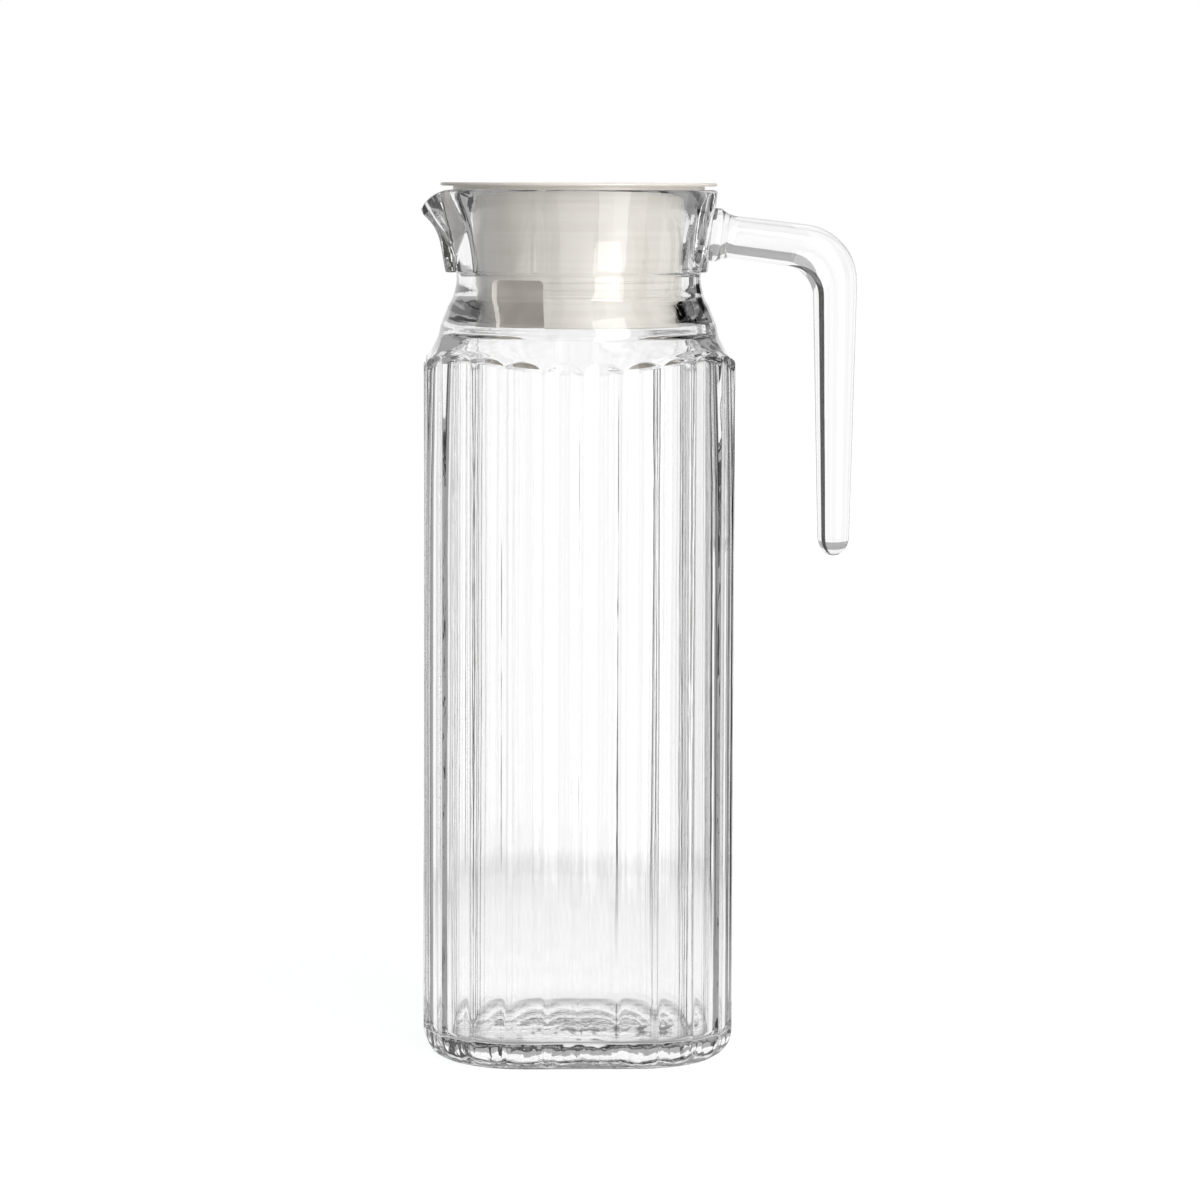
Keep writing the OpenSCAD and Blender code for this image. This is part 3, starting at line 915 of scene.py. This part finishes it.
def glass_material():
    """Clear glass. Light that only passes goes straight through. Light caught between its walls goes
    straight through too, darkened to a grey painted shade.
    """
    material, tree = new_material("clear_pressed_glass")
    shader = tree.nodes["Principled BSDF"]
    shader.inputs["Base Color"].default_value = glass_tint
    shader.inputs["Roughness"].default_value = 0
    shader.inputs["IOR"].default_value = glass_index
    shader.inputs["Transmission Weight"].default_value = 1
    bumped(tree, glass_waves(tree), shader)
    path = node(tree, "ShaderNodeLightPath")
    passing = maths(tree, "MAXIMUM", path.outputs["Is Shadow Ray"], path.outputs["Is Diffuse Ray"])
    # Rays caught between the walls pass on, darkened to a grey painted shade
    trapped = maths(tree, "GREATER_THAN", path.outputs["Glossy Depth"], glass_turns)
    clear = node(tree, "ShaderNodeBsdfTransparent")
    tone = mixed_colour(tree, trapped, glass_shadow_tone, glass_trapped_painted_shade)
    tree.links.new(tone, clear.inputs["Color"])
    mix = mixed_shader(tree, maths(tree, "MAXIMUM", passing, trapped), shader, clear)
    tree.links.new(mix.outputs[0], tree.nodes["Material Output"].inputs["Surface"])
    return material


def plastic_material():
    """Cream plastic with turned streaks, sink marks and an uneven satin gloss."""
    material, tree = new_material("cream_plastic")
    shader = tree.nodes["Principled BSDF"]
    flow = maths(tree, "ADD", uneven_value(tree, plastic_flow_size), uneven_value(tree, plastic_streak_size))
    share = maths(tree, "MULTIPLY_ADD", flow, 0.5, 0.5)
    tree.links.new(mixed_colour(tree, share, plastic_dark, plastic_pale), shader.inputs["Base Color"])
    gloss = waves(tree, plastic_roughness_size, plastic_roughness_spread, 3)
    tree.links.new(maths(tree, "ADD", gloss, plastic_roughness), shader.inputs["Roughness"])
    grain = waves(tree, plastic_grain_size, plastic_grain)
    sink = waves(tree, plastic_sink_size, plastic_sink)
    bumped(tree, maths(tree, "ADD", grain, sink), shader)
    return material


def make_jug():
    glass = glass_material()
    rings, angle, line_z = outside_rings()
    rings += collar_rings(angle)
    rings += inside_rings(line_z)
    jug = new_piece("jug_glass", wrapped_grid(rings), glass)
    rod = new_piece("rod", handle_skin(), glass)
    united(jug, [rod])
    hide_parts("jug_body", "handle")
    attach(jug, "jug")
    return jug


def spun(profile):
    """A solid of revolution from a closed outline of radius and height."""
    bm = bmesh.new()
    verts = [bm.verts.new((r, 0, z)) for r, z in profile]
    edges = [bm.edges.new((a, b)) for a, b in zip(verts, verts[1:] + verts[:1])]
    bmesh.ops.spin(
        bm,
        geom=verts + edges,
        cent=(0, 0, 0),
        axis=(0, 0, 1),
        angle=2 * math.pi,
        steps=lid_columns,
        use_merge=True,
        use_duplicate=False,
    )
    bmesh.ops.remove_doubles(bm, verts=bm.verts, dist=merge_distance)
    bmesh.ops.recalc_face_normals(bm, faces=bm.faces)
    return bm


def plug_curve(radius, low, high, count):
    """Points of the plug's flare, from one height to another."""
    centre = bore_radius - plug_gap + flare_curve_radius
    return [
        (centre - math.sqrt(radius ** 2 - (z - flare_foot_z) ** 2), z)
        for z in np.linspace(low, high, count)
    ]


def lid_profile():
    """Outline of the moulding: skirt, flare, seat ring, lip and the cup inside."""
    plug_radius = bore_radius - plug_gap
    skirt_radius = plug_radius - lid_wall
    lip_z = lid_top_z - lip_thickness
    seat = plug_curve(flare_curve_radius, flare_foot_z, rim_z, plug_rows)
    inside = plug_curve(flare_curve_radius + lid_wall, lid_top_z, flare_foot_z, plug_rows)
    seat_radius = mouth_radius(np.array([math.pi]), rim_z)[0] + seat_width
    return [
        (0, cup_floor_z - cup_floor_thickness),
        (skirt_radius, cup_floor_z - cup_floor_thickness),
        (skirt_radius, plug_low_z + lid_edge),
        (skirt_radius + lid_edge, plug_low_z),
        (plug_radius - lid_edge, plug_low_z),
        (plug_radius, plug_low_z + lid_edge),
        *seat,
        (seat_radius, rim_z),
        (seat_radius, lip_z),
        (lip_radius - lid_edge, lip_z),
        (lip_radius, lip_z + lid_edge),
        (lip_radius, lid_top_z - lid_edge),
        (lip_radius - lid_edge, lid_top_z),
        *inside,
        (skirt_radius, cup_floor_z + cup_edge),
        (skirt_radius - cup_edge, cup_floor_z),
        (0, cup_floor_z),
    ]


def turned_about_z(bm, angle):
    bmesh.ops.rotate(bm, verts=bm.verts, cent=(0, 0, 0), matrix=Matrix.Rotation(angle, 3, "Z"))
    return bm


def pushed(outline, start, length):
    """A solid from an outline of y and z, from a start along X."""
    bm = bmesh.new()
    face = bm.faces.new([bm.verts.new((start, y, z)) for y, z in outline])
    made = bmesh.ops.extrude_face_region(bm, geom=[face])["geom"]
    bmesh.ops.translate(bm, vec=(length, 0, 0), verts=[v for v in made if isinstance(v, bmesh.types.BMVert)])
    bmesh.ops.recalc_face_normals(bm, faces=bm.faces)
    return bm


def finger_bar(plastic):
    """The bar across the recess, from wall to wall, with a rounded top and fillets along its foot."""
    half = bar_thickness / 2
    centre_z = lid_top_z - bar_drop - half
    round_top = [
        (-half * math.cos(a), centre_z + half * math.sin(a)) for a in np.linspace(0, math.pi, bar_top_rows)
    ]
    fillet = [
        (half + bar_fillet * (1 - math.cos(a)), cup_floor_z + bar_fillet * (1 - math.sin(a)))
        for a in np.linspace(0, math.pi / 2, small_arc_rows)
    ]
    side = [*fillet, (half + bar_fillet, cup_floor_z - bar_sink)]
    outline = [*round_top, *side, *[(-y, z) for y, z in reversed(side)]]
    bar = new_piece("bar", pushed(outline, -lip_radius, 2 * lip_radius), plastic)
    reach = bore_radius - plug_gap - lid_wall / 2
    wall_curve = plug_curve(flare_curve_radius + lid_wall / 2, flare_foot_z, lid_top_z, hollow_plug_rows)
    hollow = [(0, cup_floor_z - bar_sink), (reach, cup_floor_z - bar_sink), *wall_curve, (0, lid_top_z)]
    return united(bar, [new_piece("hollow", spun(hollow), plastic)], "INTERSECT")


def window_block():
    """What the pouring window takes out of the skirt, rounded at its upper corners."""
    half = bore_radius * math.tan(math.radians(window_span / 2))
    corner = window_corner
    outline = [(-half, plug_low_z - overrun)]
    for y, turn in ((-half + corner, math.pi), (half - corner, math.pi / 2)):
        outline += [
            (y + corner * math.cos(a), window_top_z - corner + corner * math.sin(a))
            for a in np.linspace(turn, turn - math.pi / 2, small_arc_rows)
        ]
    outline.append((half, plug_low_z - overrun))
    inner = (bore_radius - lid_wall) * math.cos(math.radians(window_span / 2)) - overrun
    bm = pushed(outline, inner, bore_radius + overrun - inner)
    return turned_about_z(bm, math.pi + math.radians(window_angle))


def sealing_rib(z):
    """One rib on the skirt, from beside the window round the handle's side to the same place opposite."""
    start = math.radians(window_angle + window_span / 2 + rib_stop)
    half = rib_thickness / 2
    bm = bmesh.new()
    bmesh.ops.create_circle(
        bm,
        cap_ends=True,
        segments=10,
        radius=half,
        matrix=Matrix.Translation((rib_reach - half, 0, z)) @ Matrix.Rotation(math.pi / 2, 4, "X"),
    )
    bmesh.ops.spin(
        bm,
        geom=bm.verts[:] + bm.edges[:] + bm.faces[:],
        cent=(0, 0, 0),
        axis=(0, 0, 1),
        angle=2 * (math.pi - start),
        steps=96,
        use_merge=False,
        use_duplicate=False,
    )
    bmesh.ops.recalc_face_normals(bm, faces=bm.faces)
    return turned_about_z(bm, math.pi + start)


def make_lid():
    plastic = plastic_material()
    lid = new_piece("lid_moulding", spun(lid_profile()), plastic)
    first_rib = cup_floor_z - cup_floor_thickness - rib_drop
    ribs = [new_piece("rib", sealing_rib(first_rib - rib_pitch * k), plastic) for k in range(rib_count)]
    united(lid, [finger_bar(plastic), *ribs])
    united(lid, [new_piece("window", window_block(), plastic)], "DIFFERENCE")
    lid.data.set_sharp_from_angle(angle=math.radians(sharp_edge_angle))
    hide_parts("lid")
    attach(lid, "lid")
    return lid


def ragged_reach(tree, parts, reach):
    """Distance from the jug's axis, more uneven from one direction to the next towards the table's edge."""
    grain = node(tree, "ShaderNodeTexNoise", noise_dimensions="1D", Scale=1, Detail=3, Roughness=0.6)
    turn = maths(tree, "ARCTAN2", parts["X"], parts["Y"])
    tree.links.new(maths(tree, "MULTIPLY", turn, 1 / math.radians(table_ragged_width)), grain.inputs["W"])
    shift = faded(tree, grain.outputs[0], *table_ragged_range, -table_ragged * MM, table_ragged * MM)
    by_reach = faded(tree, reach, table_reach / 2 * MM, table_reach * MM)
    return maths(tree, "MULTIPLY_ADD", shift, by_reach, reach)


def table_tone(tree, parts, reach, edge_reach):
    """The table's tone as the glass shows it: rings with a painted contact shadow, clouds, painted shadow
    patches under the base and the flags' shade.
    """
    # Rings of tone, with a painted contact shadow round the base
    tone = table_rings_with_painted_shadow[0][1]
    for (start, before), (end, after) in zip(table_rings_with_painted_shadow, table_rings_with_painted_shadow[1:]):
        step = faded(tree, edge_reach, start * MM, end * MM, 0, after - before)
        tone = maths(tree, "ADD", step, tone)
    clouds = maths(tree, "MULTIPLY_ADD", uneven_value(tree, table_cloud_size, 3), table_clouds, 1)
    # Painted shadow patches on the table under the base
    patch = faded(tree, uneven_value(tree, table_painted_shadow_size, 4), *table_painted_shadow_range)
    under = faded(tree, reach, half_width * MM, half_width * MM / 2)
    patches = maths(tree, "MULTIPLY_ADD", maths(tree, "MULTIPLY", patch, under), -table_painted_shadows, 1)
    shade = maths(tree, "SUBTRACT", flag_value(tree, parts["X"], parts["Y"]), 1)
    far_shade = faded(tree, reach, table_reach / 3 * MM, table_reach * MM, 0, table_shade)
    shade = maths(tree, "MULTIPLY_ADD", shade, far_shade, 1)
    tone = maths(tree, "MULTIPLY", tone, clouds)
    return maths(tree, "MULTIPLY", tone, maths(tree, "MULTIPLY", patches, shade))


def table_material():
    """Pale card. Seen through the glass it is light grey near the jug, as far as its edge behind."""
    material, tree = new_material("pale_table")
    tree.nodes.remove(tree.nodes["Principled BSDF"])
    place = object_place(tree)
    parts = parts_of(tree, place)
    length = node(tree, "ShaderNodeVectorMath", operation="LENGTH")
    tree.links.new(place, length.inputs[0])
    reach = length.outputs["Value"]
    edge_reach = ragged_reach(tree, parts, reach)
    path = node(tree, "ShaderNodeLightPath")
    through = maths(tree, "MAXIMUM", path.outputs["Is Transmission Ray"], path.outputs["Is Glossy Ray"])
    shown = maths(tree, "MULTIPLY", table_tone(tree, parts, reach, edge_reach), through)
    far = faded(tree, reach, table_lit_reach * MM, table_far * MM, table_lift, table_far_lift)
    lift = maths(tree, "MULTIPLY", path.outputs["Is Camera Ray"], far)
    bright = node(tree, "ShaderNodeEmission")
    tree.links.new(maths(tree, "ADD", shown, lift), bright.inputs["Strength"])
    bounce = maths(tree, "MULTIPLY_ADD", path.outputs["Is Diffuse Ray"], table_bounce - 1, 1)
    keep = maths(tree, "MULTIPLY", maths(tree, "SUBTRACT", 1, through), bounce)
    diffuse = node(tree, "ShaderNodeBsdfDiffuse")
    tree.links.new(mixed_colour(tree, keep, (0, 0, 0, 1), table_colour), diffuse.inputs["Color"])
    both = node(tree, "ShaderNodeAddShader")
    tree.links.new(diffuse.outputs[0], both.inputs[0])
    tree.links.new(bright.outputs[0], both.inputs[1])
    open_air = node(tree, "ShaderNodeBsdfTransparent")
    past_edge = maths(tree, "GREATER_THAN", edge_reach, table_reach * MM)
    ends = mixed_shader(tree, maths(tree, "MULTIPLY", past_edge, through), both, open_air)
    tree.links.new(ends.outputs[0], tree.nodes["Material Output"].inputs["Surface"])
    return material


def make_table():
    bm = bmesh.new()
    bmesh.ops.create_grid(bm, x_segments=1, y_segments=1, size=table_size)
    new_piece("table", bm, table_material())


def make_world():
    """A white studio. Glass and gloss see its dark flags; the light on the pieces falls off to the left."""
    world = bpy.data.worlds.new("studio")
    bpy.context.scene.world = world
    world.use_nodes = True
    tree = world.node_tree
    parts = parts_of(tree, node(tree, "ShaderNodeTexCoord").outputs["Generated"])
    height_angle = maths(tree, "ARCSINE", parts["Z"])
    level = flag_value(tree, parts["X"], parts["Y"])
    for low, high, dark in height_bands:
        over_low = faded(tree, height_angle, math.radians(low - band_softness), math.radians(low))
        under_high = faded(tree, height_angle, math.radians(high + band_softness), math.radians(high))
        band = maths(tree, "MULTIPLY", over_low, under_high)
        level = maths(tree, "MULTIPLY", maths(tree, "MULTIPLY_ADD", band, dark - 1, 1), level)
    path = node(tree, "ShaderNodeLightPath")
    shown = maths(tree, "MAXIMUM", path.outputs["Is Glossy Ray"], path.outputs["Is Transmission Ray"])
    light = maths(tree, "MULTIPLY_ADD", parts["X"], fill_slope, fill_level)
    seen = mixed_number(tree, shown, light, level)
    background = tree.nodes["Background"]
    background.inputs["Color"].default_value = (1, 1, 1, 1)
    strength = mixed_number(tree, path.outputs["Is Camera Ray"], seen, 1)
    tree.links.new(strength, background.inputs["Strength"])


def softbox(name, place, width, height, level):
    """A square lamp that faces the jug, as bright as white card at level 1."""
    data = bpy.data.lights.new(name, "AREA")
    data.shape = "RECTANGLE"
    data.size = width * MM
    data.size_y = height * MM
    data.energy = level * math.pi * width * MM * height * MM
    lamp = bpy.data.objects.new(name, data)
    bpy.context.scene.collection.objects.link(lamp)
    lamp.location = Vector(place) * MM
    lamp.rotation_euler = (Vector((0, 0, lamp_aim_z)) - Vector(place)).to_track_quat("-Z", "Y").to_euler()
    return lamp


def round_place(azimuth, height):
    """A lamp's place, by degrees to the right of the camera's side."""
    side = math.radians(azimuth)
    return key_distance * math.sin(side), -key_distance * math.cos(side), height


def make_lamps():
    """A broad key light, a strip that only gloss shows, and a soft light overhead."""
    key = softbox("key", round_place(key_azimuth, key_height), key_width, key_tall, key_level)
    strip = softbox("strip", round_place(strip_azimuth, strip_height), strip_width, strip_tall, strip_level)
    top = softbox("top", (0, 0, top_height), top_width, top_width, top_level)
    strip.visible_camera = False
    strip.visible_diffuse = False
    for lamp in (key, top):
        lamp.visible_camera = False
        lamp.visible_transmission = False
        lamp.visible_glossy = False


def make_camera():
    data = bpy.data.cameras.new("camera")
    data.sensor_width = sensor_side
    data.lens = sensor_side * pixels_per_mm * camera_distance / picture_side
    data.clip_start = camera_near * MM
    data.clip_end = camera_far * MM
    camera = bpy.data.objects.new("camera", data)
    bpy.context.scene.collection.objects.link(camera)
    place = Vector(
        (
            look_at[0] - camera_distance * math.sin(camera_yaw),
            -camera_distance * math.cos(camera_yaw),
            camera_height,
        )
    )
    aim = Vector(look_at) - place
    turn = aim.to_track_quat("-Z", "Y").to_matrix().to_4x4()
    camera.matrix_world = turn
    camera.rotation_euler.rotate_axis("Z", camera_roll)
    camera.location = place * MM
    bpy.context.scene.camera = camera


bpy.context.scene.view_settings.view_transform = "Standard"
make_camera()
make_jug()
make_lid()
make_table()
make_world()
make_lamps()
